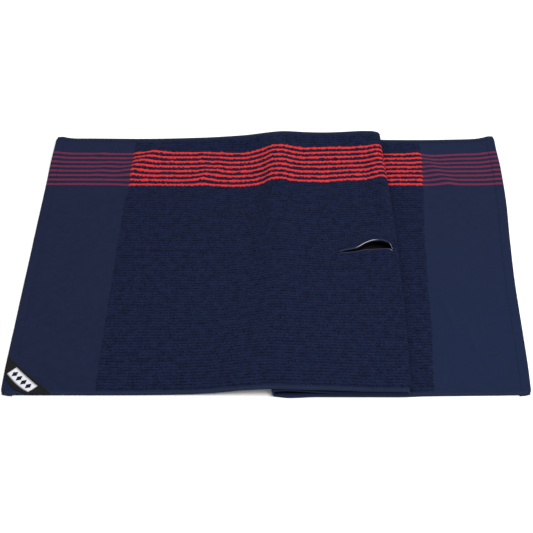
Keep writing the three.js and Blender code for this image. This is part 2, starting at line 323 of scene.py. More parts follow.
# How far the cloth strays from straight lines, in millimetres: the lower layer towards the back
# along the front edge, mid-width and back edge, and the two ends towards the right.
STRAY_X = (10, 28, 63, 168, 205, 290, 333)
STRAY = {
    "front": (-3.2, -4.6, -3.1, -3.1, -1.6, -0.2, 0.4),
    "middle": (-2.0, -2.0, -1.5, -1.5, -1.5, -1.5, -1.0),
    "back": (-1.0, -1.0, -2.0, -5.0, -5.5, -4.0, -1.0),
}
LEFT_END_BOW = ((0, 0.04, 0.10, 0.85, 1.0), (-0.7, -1.4, -1.9, -1.9, -0.6))
RIGHT_END_BOW = ((0, 0.12, 0.36, 0.55, 0.73, 0.85, 1.0), (-0.1, 0.6, -0.3, 1.6, 4.7, 3.6, 0.0))
RIGHT_BORDER_BOW = ((0, 0.13, 0.22, 0.60, 0.78, 0.93, 1.0), (-3.4, -2.9, 0.3, 0.5, 2.6, 5.0, 5.5))


def corner_share(s, y, end):
    """How much a point is drawn in by the rounding of the outer corners at one end."""
    return bump(np.hypot(s - end, EDGE - np.abs(y)), 0, 0.005)


def stray_back(s, y):
    """How far the cloth lies behind its straight place."""
    t = y / WIDTH + 0.5
    x = 1000 * (s - LENGTH - FRAME_LEFT_X)
    front, middle, back = (smooth_line(x, STRAY_X, STRAY[k]) for k in ("front", "middle", "back"))
    to_middle, to_back = smoothstep(0.0, 0.6, t), smoothstep(0.72, 1.0, t)
    lower = (front + (middle - front) * to_middle + (back - middle) * to_back) / 1000
    lower = lower - 0.0022 * bump(x, 232, 32) * bump(y, 0.217, 0.022)
    lower = lower * smoothstep(0.655, 0.705, s)
    upper = -0.0009 * (1 - smoothstep(0.0, 0.3, t)) * (1 - smoothstep(0.1, 0.3, s))
    upper = upper - 0.0013 * smoothstep(0.85, 1.0, t) * bump(s, 0.128, 0.055)
    place, inside = s + FRAME_LEFT_X, 1 - smoothstep(0.222, 0.250, y)
    span = smoothstep(-0.25, -0.20, place) * (1 - smoothstep(0.07, 0.12, place))
    upper = upper - 0.0026 * bump(y, 0.148, 0.045) * span * inside
    upper = upper - 0.0026 * bump(place, -0.061, 0.027) * smoothstep(0.04, 0.12, y) * inside
    upper = upper - 0.0020 * bump(place, 0.050, 0.030) * smoothstep(0.17, 0.21, y) * inside
    upper = upper - 0.0028 * bump(y, SLIT_Y, 0.030) * bump(place, 0.092, 0.028)
    rounded = -0.0018 * np.sign(y) * (corner_share(s, y, 0) + corner_share(s, y, LENGTH))
    return np.where(s > 0.6, lower, upper) + rounded


def stray_right(s, y):
    t = y / WIDTH + 0.5
    left = smooth_line(t, *LEFT_END_BOW) * np.clip(1 - s / 0.16, 0, 1)
    left = left + 3.0 * smoothstep(0.70, 0.80, t) * bump(s, END_BORDER, 0.05)
    right = smooth_line(t, *RIGHT_END_BOW) * np.clip(1 - (LENGTH - s) / 0.30, 0, 1)
    right = right + smooth_line(t, *RIGHT_BORDER_BOW) * bump(s, LENGTH - END_BORDER, 0.055)
    near_front = y + EDGE
    right_corner = -3.0 * (1 - smoothstep(0.004, 0.016, near_front)) * smoothstep(0.47, 0.505, s) * (s < 0.55)
    left_corner = 2.0 * (1 - smoothstep(0.0, 0.014, near_front)) * bump(s, 0.684, 0.012)
    rounded = 1.8 * (corner_share(s, y, 0) - corner_share(s, y, LENGTH))
    return (left + right + right_corner + left_corner + rounded) / 1000


# The slit's eye in the upper layer: places along the towel from the frame's middle, and how open it is.
EYE_X = (92, 104, 120, 127, 134, 146, 155, 164, 168, 170.5)
EYE_OPEN = (0, 0.18, 0.32, 0.53, 0.78, 1.0, 0.97, 0.78, 0.58, 0)


def slit_open(s):
    """How open the slit is, from 0 to 1: an eye in the upper layer, and a thin gap in the middle one."""
    eye = smooth_line(1000 * (s + FRAME_LEFT_X), EYE_X, EYE_OPEN)
    along = np.clip((s - UPPER_END) / (SLIT_TIPS[1] - UPPER_END), 0, 1)
    return np.where(s < UPPER_END, eye, np.sin(math.pi * along))


def slit_shape(s, y, side):
    """How far the lips of the slit move back (towards +Y) and up."""
    off = np.abs(y - SLIT_Y)
    upper = s < UPPER_END
    share = slit_open(s)
    far = (side > 0) * np.exp(-((off / 0.028) ** 1.5))
    near = (side < 0) * np.exp(-((off / 0.018) ** 1.5))
    rest = 0.00015 * (np.abs(s - SLIT_CENTRE) < 0.999 * SLIT_HALF)
    far_open = np.where(upper, 0.0112, 0.0012) * share + rest
    near_open = 0.0010 * share + rest
    lift = np.where(upper, 0.0088 * share * far + 0.0038 * smoothstep(0.2, 0.8, share) * near, 0)
    x = 1000 * (s + FRAME_LEFT_X)
    fold_ridge = 0.0022 * bump(y, 0.013, 0.009) * smoothstep(128, 160, x) * upper * (side >= 0)
    return far * far_open - near * near_open, lift + fold_ridge


def lay(s, y, h, side):
    """World points of cloth coordinates, with each point's side of the slit as -1, 0 or 1."""
    world = np.zeros((len(s), 3))
    for row in np.unique(np.round(y, 5)):
        at = np.round(y, 5) == row
        t = row / WIDTH + 0.5
        places, points, tangents = path_at(np.clip(t, 0, 1))
        here = s[at]
        px = np.interp(here, places, points[:, 0]) + np.minimum(here, 0) + np.maximum(here - LENGTH, 0)
        pz = np.interp(here, places, points[:, 1])
        tx = np.interp(here, places, tangents[:, 0])
        tz = np.interp(here, places, tangents[:, 1])
        norm = np.hypot(tx, tz)
        world[at, 0] = px - tz / norm * h[at] + SKEW * (t - 0.5)
        world[at, 2] = pz + tx / norm * h[at]
    move, lift = slit_shape(s, y, side)
    world[:, 0] += LEFT_END_X - FRAME_LEFT_X + stray_right(s, y)
    world[:, 1] = y + stray_back(s, y) + move + MIDDLE_Y
    world[:, 2] += swells(s, y) + wrinkles(s, y) + corner_lift(s, y) + lift
    world[:, 2] = np.maximum(world[:, 2], 0.00002)
    return world


# ---- Making pieces ----
def grid_lines(*stretches):
    """Places of grid lines: each stretch is (start, end, step)."""
    lines = []
    for start, end, step in stretches:
        count = max(1, round((end - start) / step))
        lines += [start + (end - start) * i / count for i in range(count + 1)]
    return merged(lines)


def merged(lines):
    kept = []
    for place in sorted(lines):
        if not kept or place - kept[-1] > 2e-4:
            kept.append(place)
    return kept


def flat_grid(along, rows):
    """A flat grid of faces in cloth coordinates, with one line at each of the given places."""
    bm = bmesh.new()
    last_column, last_row = len(along) - 1, len(rows) - 1
    bmesh.ops.create_grid(bm, x_segments=last_column, y_segments=last_row, size=0.5)
    for v in bm.verts:
        column = round((v.co.x + 0.5) * last_column)
        row = round((v.co.y + 0.5) * last_row)
        v.co = (along[column], rows[row], 0)
    return bm


def open_slit(bm, tips):
    """Parts the grid along the slit between its tips and marks each lip with its side."""
    low, high = tips

    def on_line(v):
        return abs(v.co.y - SLIT_Y) < 1e-6

    edges = [
        e for e in bm.edges
        if all(on_line(v) and low - 1e-6 <= v.co.x <= high + 1e-6 for v in e.verts)
    ]
    bmesh.ops.split_edges(bm, edges=edges)
    for v in bm.verts:
        if on_line(v) and len(v.link_faces) < 4:
            middle = sum(f.calc_center_median().y for f in v.link_faces) / len(v.link_faces)
            v.co.y += math.copysign(2e-6, middle - SLIT_Y)


def to_object(bm, name, material):
    mesh = bpy.data.meshes.new(name)
    bm.to_mesh(mesh)
    bm.free()
    for polygon in mesh.polygons:
        polygon.use_smooth = True
    mesh.materials.append(material)
    obj = bpy.data.objects.new(name, mesh)
    bpy.context.scene.collection.objects.link(obj)
    return obj


def flat_points(mesh):
    """The vertices of a mesh, one row each."""
    flat = np.zeros(len(mesh.vertices) * 3)
    mesh.vertices.foreach_get("co", flat)
    return flat.reshape(-1, 3)


def map_and_place(mesh, s, y, world):
    """Maps the mesh by its cloth coordinates, then moves its vertices to their laid places."""
    loops = np.zeros(len(mesh.loops), dtype=int)
    mesh.loops.foreach_get("vertex_index", loops)
    uv = mesh.uv_layers.new(name="cloth")
    uv.data.foreach_set("uv", np.column_stack([s, y + EDGE])[loops].ravel())
    mesh.vertices.foreach_set("co", world.ravel())
    mesh.update()


def laid_piece(name, bm, top, bottom, material):
    """Gives a flat grid its thickness, maps it, and lays it on the folded path as one closed body.

    top and bottom give the height above the reverse side as functions of s and y.
    """
    bmesh.ops.solidify(bm, geom=bm.faces[:], thickness=1.0)
    bmesh.ops.recalc_face_normals(bm, faces=bm.faces[:])
    obj = to_object(bm, name, material)
    flat = flat_points(obj.data)
    level = flat[:, 2] > flat[:, 2].min() + 0.5
    s, y = flat[:, 0], flat[:, 1]
    off_line = y - SLIT_Y
    side = np.sign(np.round(off_line, 7))
    y = np.where(np.abs(off_line) < 1e-5, SLIT_Y, y)
    h = np.where(level, top(s, y), bottom(s, y))
    map_and_place(obj.data, s, y, lay(s, y, h, side))
    return obj


def follow_layer(obj, layer):
    """Fixes a piece to its layer: pieces of the middle layer are attached to the middle panel's body, the
    others are baked into place.
    """
    if layer == "upper":
        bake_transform(obj)
    elif layer == "lower":
        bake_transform(obj)
    else:
        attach(obj, "middle_panel")
    return obj


SPANS = {
    "upper": (0.0, UPPER_END),
    "middle": (UPPER_END, MIDDLE_END),
    "lower": (MIDDLE_END, LENGTH),
}


# ---- Heights of the cloth ----
def terry_share(s):
    """1 in the terry field and 0 in the flat-woven ends."""
    rise = smoothstep(END_BORDER - 0.001, END_BORDER + 0.003, s)
    fall = smoothstep(LENGTH - END_BORDER - 0.003, LENGTH - END_BORDER + 0.001, s)
    return rise * (1 - fall)


def rib_height(y):
    """0 in the valleys between rows of loops and 1 on their crests."""
    phase = (EDGE - sizes().stripe_inset - y) / sizes().rib_pitch
    return np.abs(np.cos(math.pi * phase)) ** 0.7


def cloth_top(s, y):
    share = terry_share(s)
    beside_hem = smoothstep(EDGE - HEM_WIDTH - 0.004, EDGE - HEM_WIDTH + 0.001, np.abs(y))
    pressed = smoothstep(0.505, 0.52, s) * (1 - smoothstep(0.84, 0.87, s))
    terry = sizes().terry - 0.0007 * pressed - sizes().rib_depth * (1 - rib_height(y))
    terry = terry - 0.0010 * pressed_line(s, y)
    terry = terry * (1 - beside_hem) + (sizes().hem - 0.0005) * beside_hem
    flat = sizes().flat_weave + 0.0002 * beside_hem
    return flat * (1 - share) + terry * share


def cloth_bottom(s, y):
    under_hem = smoothstep(EDGE - HEM_WIDTH - 0.001, EDGE - HEM_WIDTH + 0.002, np.abs(y))
    end = np.minimum(s, LENGTH - s)
    under_end = 1 - smoothstep(END_HEM - 0.002, END_HEM + 0.001, end)
    return 0.0002 * terry_share(s) * (1 - rib_height(y)) + 0.0003 * np.maximum(under_hem, under_end)


RIB_LINES = (-0.5, -0.3, 0.0, 0.3)


def field_rows():
    """Lines across the cloth: four to each row of loops, and one on the slit."""
    pitch = sizes().rib_pitch
    first = EDGE - sizes().stripe_inset
    inner = EDGE - 0.0025
    rows = [-inner, inner]
    count = int((first + inner) / pitch) + 1
    for i in range(-5, count + 1):
        rows += [first - (i + part) * pitch for part in RIB_LINES]
    rows = [y for y in rows if abs(y) < inner - 4e-4 and abs(y - SLIT_Y) > 6e-4]
    return merged(rows + [-inner, inner, SLIT_Y])


def build_cloth(layer, stretches, slit_tips, replaced):
    bm = flat_grid(grid_lines(*stretches), field_rows())
    if slit_tips:
        open_slit(bm, slit_tips)
    obj = laid_piece(f"{layer}_cloth", bm, cloth_top, cloth_bottom, cloth_material())
    follow_layer(obj, layer)
    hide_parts(*replaced)
    return obj


# ---- Shader groups ----
def new_group(name, inputs, outputs):
    """A shader node group with float inputs given as name: default and outputs as name: type."""
    group = bpy.data.node_groups.new(name, "ShaderNodeTree")
    for socket, default in inputs.items():
        kind = "NodeSocketVector" if default is None else "NodeSocketFloat"
        item = group.interface.new_socket(socket, in_out="INPUT", socket_type=kind)
        if default is not None:
            item.default_value = default
    for socket, kind in outputs.items():
        group.interface.new_socket(socket, in_out="OUTPUT", socket_type=kind)
    return group, group.nodes.new("NodeGroupInput"), group.nodes.new("NodeGroupOutput")


class Nodes:
    """Short calls that add nodes to one tree and link them."""

    def __init__(self, tree):
        self.tree = tree

    def add(self, kind, **settings):
        node = self.tree.nodes.new(kind)
        for key, value in settings.items():
            setattr(node, key, value)
        return node

    def put(self, socket, value):
        if isinstance(value, bpy.types.NodeSocket):
            self.tree.links.new(value, socket)
        elif value is not None:
            socket.default_value = value

    def math(self, operation, a, b=None, clamp=False):
        node = self.add("ShaderNodeMath", operation=operation, use_clamp=clamp)
        for socket, value in zip(node.inputs, (a, b)):
            self.put(socket, value)
        return node.outputs[0]

    def plus(self, a, b, clamp=False):
        return self.math("ADD", a, b, clamp=clamp)

    def minus(self, a, b, clamp=False):
        return self.math("SUBTRACT", a, b, clamp=clamp)

    def times(self, a, b):
        return self.math("MULTIPLY", a, b)

    def mix(self, share, a, b):
        node = self.add("ShaderNodeMix", data_type="RGBA", clamp_factor=True)
        self.put(node.inputs["Factor"], share)
        self.put(node.inputs[6], a)
        self.put(node.inputs[7], b)
        return node.outputs[2]

    def blend_values(self, share, a, b):
        node = self.add("ShaderNodeMix", data_type="FLOAT", clamp_factor=True)
        self.put(node.inputs["Factor"], share)
        self.put(node.inputs[2], a)
        self.put(node.inputs[3], b)
        return node.outputs[0]

    def ramp(self, value, low, high):
        node = self.add("ShaderNodeMapRange", interpolation_type="SMOOTHSTEP")
        self.put(node.inputs["Value"], value)
        self.put(node.inputs["From Min"], low)
        self.put(node.inputs["From Max"], high)
        return node.outputs[0]

    def noise(self, vector, scale, detail=2.0, roughness=0.5):
        node = self.add("ShaderNodeTexNoise")
        self.put(node.inputs["Vector"], vector)
        self.put(node.inputs["Scale"], scale)
        node.inputs["Detail"].default_value = detail
        node.inputs["Roughness"].default_value = roughness
        return node.outputs["Fac"]

    def split(self, vector):
        node = self.add("ShaderNodeSeparateXYZ")
        self.put(node.inputs[0], vector)
        return node.outputs

    def join(self, x, y, z=0.0):
        node = self.add("ShaderNodeCombineXYZ")
        for socket, value in zip(node.inputs, (x, y, z)):
            self.put(socket, value)
        return node.outputs[0]


def loop_rows_group():
    """Rows of cotton loops: each loop's height, and the shade between loops."""
    found = bpy.data.node_groups.get("Loop Rows")
    if found:
        return found
    group, entry, leave = new_group(
        "Loop Rows",
        {"Vector": None, "Pitch": 0.0050, "Phase": 0.0, "Loop": 0.0019},
        {"Height": "NodeSocketFloat", "Shade": "NodeSocketFloat"})
    n = Nodes(group)
    x, y, _ = n.split(entry.outputs["Vector"])
    wander = n.times(n.minus(n.noise(n.join(x, y), 170.0, 1.0), 0.5), 0.0050)
    row = n.math("DIVIDE", n.plus(n.minus(y, entry.outputs["Phase"]), wander),
                 entry.outputs["Pitch"])
    crest = n.math("ABSOLUTE", n.math("COSINE", n.times(row, math.pi)))
    cells = n.add("ShaderNodeTexVoronoi", feature="F1", distance="EUCLIDEAN")
    loop = entry.outputs["Loop"]
    stretched = n.join(n.math("DIVIDE", x, n.times(loop, 1.25)), n.math("DIVIDE", y, loop))
    n.put(cells.inputs["Vector"], stretched)
    cells.inputs["Scale"].default_value = 1.0
    cells.inputs["Randomness"].default_value = 0.85
    knob = n.minus(1.0, cells.outputs["Distance"], clamp=True)
    clump = n.ramp(n.noise(stretched, 0.85, 2.0, 0.8), 0.37, 0.63)
    height = n.plus(n.times(crest, 0.22), n.times(knob, 0.38))
    height = n.plus(height, n.times(clump, 0.40))
    shade = n.plus(n.times(crest, 0.30), n.times(knob, 0.26))
    shade = n.plus(shade, n.times(clump, 0.44))
    n.put(leave.inputs["Height"], height)
    n.put(leave.inputs["Shade"], shade)
    return group


def plain_weave_group():
    """Over-and-under threads of a flat weave, with slubs."""
    found = bpy.data.node_groups.get("Plain Weave")
    if found:
        return found
    group, entry, leave = new_group(
        "Plain Weave", {"Vector": None, "Thread": 0.0008},
        {"Height": "NodeSocketFloat", "Shade": "NodeSocketFloat"})
    n = Nodes(group)
    x, y, _ = n.split(entry.outputs["Vector"])
    thread = entry.outputs["Thread"]
    across = n.math("SINE", n.times(n.math("DIVIDE", x, thread), math.pi))
    down = n.math("SINE", n.times(n.math("DIVIDE", y, thread), math.pi))
    over = n.times(n.plus(n.times(across, down), 1.0), 0.5)
    slub = n.noise(n.join(n.times(x, 0.25), n.times(y, 1.6)), 420.0, 2.0, 0.6)
    cross_slub = n.noise(n.join(n.times(x, 1.6), n.times(y, 0.25)), 420.0, 2.0, 0.6)
    streak = n.times(n.plus(slub, cross_slub), 0.5)
    n.put(leave.inputs["Height"], n.plus(n.times(over, 0.6), n.times(streak, 0.8)))
    n.put(leave.inputs["Shade"], streak)
    return group


def wear_group():
    """Broad, soft change of shade where cloth has been handled and washed."""
    found = bpy.data.node_groups.get("Washed Cloth")
    if found:
        return found
    group, entry, leave = new_group(
        "Washed Cloth", {"Vector": None, "Scale": 14.0}, {"Shade": "NodeSocketFloat"})
    n = Nodes(group)
    broad = n.noise(entry.outputs["Vector"], entry.outputs["Scale"], 3.0, 0.55)
    n.put(leave.inputs["Shade"], n.ramp(broad, 0.3, 0.7))
    return group


def use_group(n, group, vector, **values):
    node = n.add("ShaderNodeGroup", node_tree=group)
    n.put(node.inputs["Vector"], vector)
    for name, value in values.items():
        node.inputs[name].default_value = value
    return node.outputs


def cloth_shader(name):
    """A material whose principled shader is set for cotton. Gives (material, node calls, shader, map)."""
    material = bpy.data.materials.new(name)
    material.use_nodes = True
    tree = material.node_tree
    tree.nodes.clear()
    n = Nodes(tree)
    shader = n.add("ShaderNodeBsdfPrincipled")
    output = n.add("ShaderNodeOutputMaterial")
    tree.links.new(shader.outputs[0], output.inputs[0])
    shader.inputs["Roughness"].default_value = 0.92
    shader.inputs["Specular IOR Level"].default_value = 0.05
    uv = n.add("ShaderNodeUVMap", uv_map="cloth").outputs[0]
    return material, n, shader, uv


def add_bump(n, shader, height, strength, distance):
    node = n.add("ShaderNodeBump")
    node.inputs["Strength"].default_value = strength
    node.inputs["Distance"].default_value = distance
    n.put(node.inputs["Height"], height)
    n.put(shader.inputs["Normal"], node.outputs[0])


def rgba(colour, factor=1.0):
    return tuple(min(1.0, c * factor) for c in colour) + (1.0,)


def stripe_mask(n, y, jitter, duty):
    """1 inside the stripes. The stripes lie on every second row of loops."""
    pitch = 2 * sizes().rib_pitch
    first = WIDTH - sizes().stripe_inset
    down = n.math("DIVIDE", n.minus(first, n.plus(y, jitter)), pitch)
    nearest = n.math("ABSOLUTE", n.minus(n.math("FRACT", n.plus(down, 0.5)), 0.5))
    inside = n.minus(1.0, n.ramp(nearest, duty / 2 - 0.03, duty / 2 + 0.03))
    starts = n.math("GREATER_THAN", down, -0.45)
    ends = n.math("LESS_THAN", down, sizes().stripes - 0.55)
    return n.times(inside, n.times(starts, ends))


def cloth_material():
    """Navy terry with bright stripes, turning to flat weave with muted stripes at both ends."""
    found = bpy.data.materials.get("Striped Terry Cloth")
    if found:
        return found
    material, n, shader, uv = cloth_shader("Striped Terry Cloth")
    phase = WIDTH - sizes().stripe_inset
    rows = use_group(n, loop_rows_group(), uv, Pitch=sizes().rib_pitch, Phase=phase)
    weave = use_group(n, plain_weave_group(), uv, Thread=0.0009)
    washed = use_group(n, wear_group(), uv, Scale=13.0)
    x, y, _ = n.split(uv)

    ragged = n.times(n.minus(n.noise(uv, 250.0, 1.0), 0.5), 0.0055)
    from_end = n.math("MINIMUM", x, n.minus(LENGTH, x))
    border = n.plus(from_end, ragged)
    terry = n.ramp(border, END_BORDER - 0.0008, END_BORDER + 0.0008)

    c = colours()
    patches = use_group(n, wear_group(), uv, Scale=95.0)
    uneven = n.times(n.minus(patches["Shade"], 0.5), 0.26)
    loops = n.mix(n.plus(rows["Shade"], uneven), rgba(c.terry, 0.02), rgba(c.terry, 2.10))
    loops = n.mix(n.times(washed["Shade"], 0.2), loops, rgba(c.terry, 1.2))
    bright = n.mix(rows["Shade"], rgba(c.stripe, 0.40), rgba(c.stripe, 1.30))
    striped = n.mix(stripe_mask(n, y, ragged, 0.42), loops, bright)

    small = n.times(ragged, 0.25)
    threads = n.plus(weave["Shade"], n.times(uneven, 0.8))
    flat = n.mix(threads, rgba(c.flat_weave, 0.60), rgba(c.flat_weave, 1.40))
    flat = n.mix(n.times(washed["Shade"], 0.30), flat, rgba(c.flat_weave, 1.25))
    # Painted light: the flat weave is drawn lighter towards the back edge.
    flat = n.mix(n.times(n.ramp(y, 0.33, 0.50), 0.45), flat, rgba(c.flat_weave, 1.30))
    # Painted light: the right end's flat weave is drawn lighter and bluer, most of all near the front edge.
    front = n.minus(1.0, n.ramp(y, 0.05, 0.45))
    painted_light_share = n.plus(0.30, n.times(front, 0.30))
    lit_flat_colour = [v * lift for v, lift in zip(c.flat_weave, (1.08, 1.32, 1.34))]
    flat = n.mix(n.times(n.ramp(x, 0.5, 0.6), painted_light_share), flat, rgba(lit_flat_colour))
    muted = n.mix(weave["Shade"], rgba(c.faded_stripe, 0.80), rgba(c.faded_stripe, 1.20))
    flat = n.mix(stripe_mask(n, y, small, 0.42), flat, muted)

    n.put(shader.inputs["Base Color"], n.mix(terry, flat, striped))
    n.put(shader.inputs["Roughness"], n.blend_values(terry, 0.86, 0.97))
    height = n.blend_values(terry, n.times(weave["Height"], 0.16), rows["Height"])
    add_bump(n, shader, height, 0.7, 0.0011)
    shader.inputs["Sheen Weight"].default_value = 0.02
    shader.inputs["Sheen Roughness"].default_value = 0.6
    shader.inputs["Sheen Tint"].default_value = (0.45, 0.55, 0.85, 1.0)
    return material


def woven_material(name, colour, thread, strength=0.6, sheen=0.05, rough=0.88, contrast=0.25):
    """A plain-woven cloth, tape or thread in one colour."""
    found = bpy.data.materials.get(name)
    if found:
        return found
    material, n, shader, uv = cloth_shader(name)
    weave = use_group(n, plain_weave_group(), uv, Thread=thread)
    washed = use_group(n, wear_group(), uv, Scale=22.0)
    shade = n.plus(n.times(weave["Shade"], 0.7), n.times(washed["Shade"], 0.3))
    n.put(shader.inputs["Base Color"], n.mix(shade, rgba(colour, 1 - contrast), rgba(colour, 1 + contrast)))
    n.put(shader.inputs["Roughness"], n.blend_values(shade, rough - 0.06, min(1.0, rough + 0.06)))
    add_bump(n, shader, weave["Height"], strength, 0.0004)
    shader.inputs["Sheen Weight"].default_value = sheen
    return material


# ---- Operators ----
class TOWEL_OT_stage(bpy.types.Operator):
    """Make the pale floor, the soft lights and the camera."""

    bl_idname = "towel.stage"
    bl_label = "Stage"

    def execute(self, context):
        build_floor()
        build_lights()
        build_camera()
        return {"FINISHED"}


def build_floor():
    bm = bmesh.new()
    bmesh.ops.create_grid(bm, x_segments=2, y_segments=2, size=6.0)
    material = bpy.data.materials.new("Pale Floor")
    material.use_nodes = True
    shader = material.node_tree.nodes["Principled BSDF"]
    shader.inputs["Base Color"].default_value = (0.93, 0.93, 0.93, 1.0)
    shader.inputs["Roughness"].default_value = 0.9
    shader.inputs["Specular IOR Level"].default_value = 0.0
    floor = to_object(bm, "floor", material)
    floor.data.transform(Matrix.Translation((0, 0, CAD_BOX[0].z - 0.0002)))


def build_lights():
    world = bpy.data.worlds.new("Studio")
    world.use_nodes = True
    background = world.node_tree.nodes["Background"]
    background.inputs["Color"].default_value = (1.0, 1.0, 1.0, 1.0)
    background.inputs["Strength"].default_value = 0.82
    bpy.context.scene.world = world
    lamps = (
        ("key", (1.0, -0.55, 1.6), 1.2, 28.0),
        ("fill", (-0.6, 0.3, 2.0), 1.6, 10.0),
    )
    for name, place, size, power in lamps:
        data = bpy.data.lights.new(name, "AREA")
        data.shape = "SQUARE"
        data.size = size
        data.energy = power
        lamp = bpy.data.objects.new(name, data)
        lamp.location = place
        lamp.rotation_mode = "QUATERNION"
        lamp.rotation_quaternion = (-Vector(place)).to_track_quat("-Z", "Y")
        bpy.context.scene.collection.objects.link(lamp)
    bpy.context.scene.view_settings.view_transform = "Standard"


CAMERA_PLACE = (0.0300, -1.3071, 1.2756)
CAMERA_PITCH = math.radians(44.79)
CAMERA_YAW = math.radians(-1.615)
CAMERA_ROLL = math.radians(-1.152)
CAMERA_LENS = 88.47


def build_camera():
    data = bpy.data.cameras.new("camera")
    data.lens = CAMERA_LENS
    data.sensor_width = 36.0
    camera = bpy.data.objects.new("camera", data)
    turn = (
        Matrix.Rotation(-CAMERA_YAW, 4, "Z")
        @ Matrix.Rotation(math.pi / 2 - CAMERA_PITCH, 4, "X")
        @ Matrix.Rotation(CAMERA_ROLL, 4, "Z")
    )
    camera.matrix_world = Matrix.Translation(CAMERA_PLACE) @ turn
    bpy.context.scene.collection.objects.link(camera)
    bpy.context.scene.camera = camera


class TOWEL_OT_cloth(bpy.types.Operator):
    """Weave the three layers of cloth, with the slit open in the upper two."""

    bl_idname = "towel.cloth"
    bl_label = "Cloth"

    def execute(self, context):
        tip, end_tip = SLIT_TIPS
        near_border = (END_BORDER - 0.002, END_BORDER + 0.004, 0.0015)
        upper = [(0.004, END_BORDER - 0.002, 0.006), near_border, (END_BORDER + 0.004, tip, 0.0065),
                 (tip, 0.488, 0.0035), (0.488, UPPER_END, 0.0012)]
        middle = [(UPPER_END, end_tip, 0.004), (end_tip, MIDDLE_END, 0.005)]
        end = LENGTH - END_BORDER
        lower = [(MIDDLE_END, 0.697, 0.0013), (0.697, end - 0.004, 0.0065),
                 (end - 0.004, end + 0.002, 0.0015), (end + 0.002, LENGTH - 0.004, 0.0026)]
        made = {
            "upper": build_cloth("upper", upper, (tip, UPPER_END), (
                "upper_terry", "left_end_border", "upper_fold_terry_front", "upper_fold_terry_back")),
            "middle": build_cloth("middle", middle, (UPPER_END, end_tip), ("middle_terry",)),
            "lower": build_cloth("lower", lower, None, (
                "lower_terry", "right_end_border", "lower_fold_terry")),
        }
        return {"FINISHED"}


def hem_material():
    return woven_material("Hem Cloth", colours().hem, 0.0009, 0.6)


def long_hem_top(s, y):
    """Round at the outer edge, with a groove along the stitching and a rolled inner edge."""
    inward = EDGE - np.abs(y)
    rise = np.sqrt(np.clip(1 - ((0.0013 - np.minimum(inward, 0.0013)) / 0.0013) ** 2, 0, 1))
    groove = 0.0005 * bump(inward, HEM_WIDTH - 0.0014, 0.0006)
    fall = smoothstep(HEM_WIDTH - 0.0002, HEM_WIDTH + 0.0006, inward)
    pucker = 0.00015 * np.sin(s * 2 * math.pi / (2 * sizes().stitch))
    return sizes().hem * (0.45 + 0.55 * rise) - groove - fall * 0.0012 + pucker * (inward > 0.001)


def long_hem_bottom(s, y):
    inward = EDGE - np.abs(y)
    rounded = 0.0007 * (1 - smoothstep(0.0, 0.0010, inward))
    return rounded + 0.0002 * smoothstep(HEM_WIDTH - 0.0005, HEM_WIDTH, inward)


HEM_ROWS = (0.0, 0.0002, 0.0006, 0.0013, 0.0028, 0.0040, 0.0046, 0.0052, 0.0058, 0.0062, 0.0066)


def hem_stretches(layer, step=0.003):
    low, high = SPANS[layer]
    if layer == "upper":
        return [(0.003, 0.488, step), (0.488, high, 0.0011)]
    if layer == "lower":
        return [(low, 0.697, 0.0013), (0.697, LENGTH - 0.003, step)]
    return [(low, high, step)]


class TOWEL_OT_hems(bpy.types.Operator):
    """Turn the hems along the two long edges and the two ends."""

    bl_idname = "towel.hems"
    bl_label = "Hems"

    def execute(self, context):
        for name, sign in (("front", -1), ("back", 1)):
            for layer in SPANS:
                rows = sorted(sign * (EDGE - inward) for inward in HEM_ROWS)
                bm = flat_grid(grid_lines(*hem_stretches(layer)), rows)
                obj = laid_piece(f"{name}_hem_{layer}_turned", bm, long_hem_top, long_hem_bottom,
                                 hem_material())
                follow_layer(obj, layer)
                replaced = [f"{name}_hem_{layer}"]
                if layer != "middle":
                    replaced.append(f"{name}_hem_{layer}_fold")
                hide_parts(*replaced)
        for end, body in (("left", "upper_panel"), ("right", "lower_panel")):
            obj = build_end_hem(end)
            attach(obj, body)
            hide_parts(f"{end}_end_hem")
        return {"FINISHED"}


END_HEM_HEIGHT = 0.0016
END_HEM_PROUD = 0.0013


def end_hem_top(s, y):
    out = np.minimum(s, LENGTH - s) + 0.001
    inward = EDGE + END_HEM_PROUD - np.abs(y)
    edge = np.minimum(out, inward)
    rise = np.sqrt(np.clip(1 - ((0.0016 - np.clip(edge, 0, 0.0016)) / 0.0016) ** 2, 0, 1))
    groove = 0.00008 * bump(out, END_HEM - 0.0008, 0.0007)
    fall = smoothstep(END_HEM - 0.0006, END_HEM + 0.0008, out)
    pucker = 0.00010 * np.sin(y * 2 * math.pi / (2 * sizes().stitch)) * smoothstep(0.001, 0.003, edge)
    return END_HEM_HEIGHT * (0.4 + 0.6 * rise) - groove - fall * 0.0007 + pucker


def end_hem_bottom(s, y):
    out = np.minimum(s, LENGTH - s) + 0.001
    inward = EDGE + END_HEM_PROUD - np.abs(y)
    return 0.0007 * (1 - smoothstep(0.0, 0.0012, np.minimum(out, inward)))


def build_end_hem(end):
    outs = [-0.001, -0.0008, -0.0004, 0.0004, 0.003, 0.006, 0.009]
    outs += [END_HEM + past for past in (-0.0016, -0.0011, -0.0006, -0.0001, 0.0004, 0.0010)]
    along = sorted(outs) if end == "left" else sorted(LENGTH - out for out in outs)
    reach = EDGE + END_HEM_PROUD
    corner = [reach - inward for inward in (0, 0.0002, 0.0006, 0.0016)]
    rows = merged([-c for c in corner] + corner + grid_lines((-reach + 0.0016, reach - 0.0016, 0.0015)))
    return laid_piece(f"{end}_end_hem_turned", flat_grid(along, rows), end_hem_top, end_hem_bottom,
                      cloth_material())


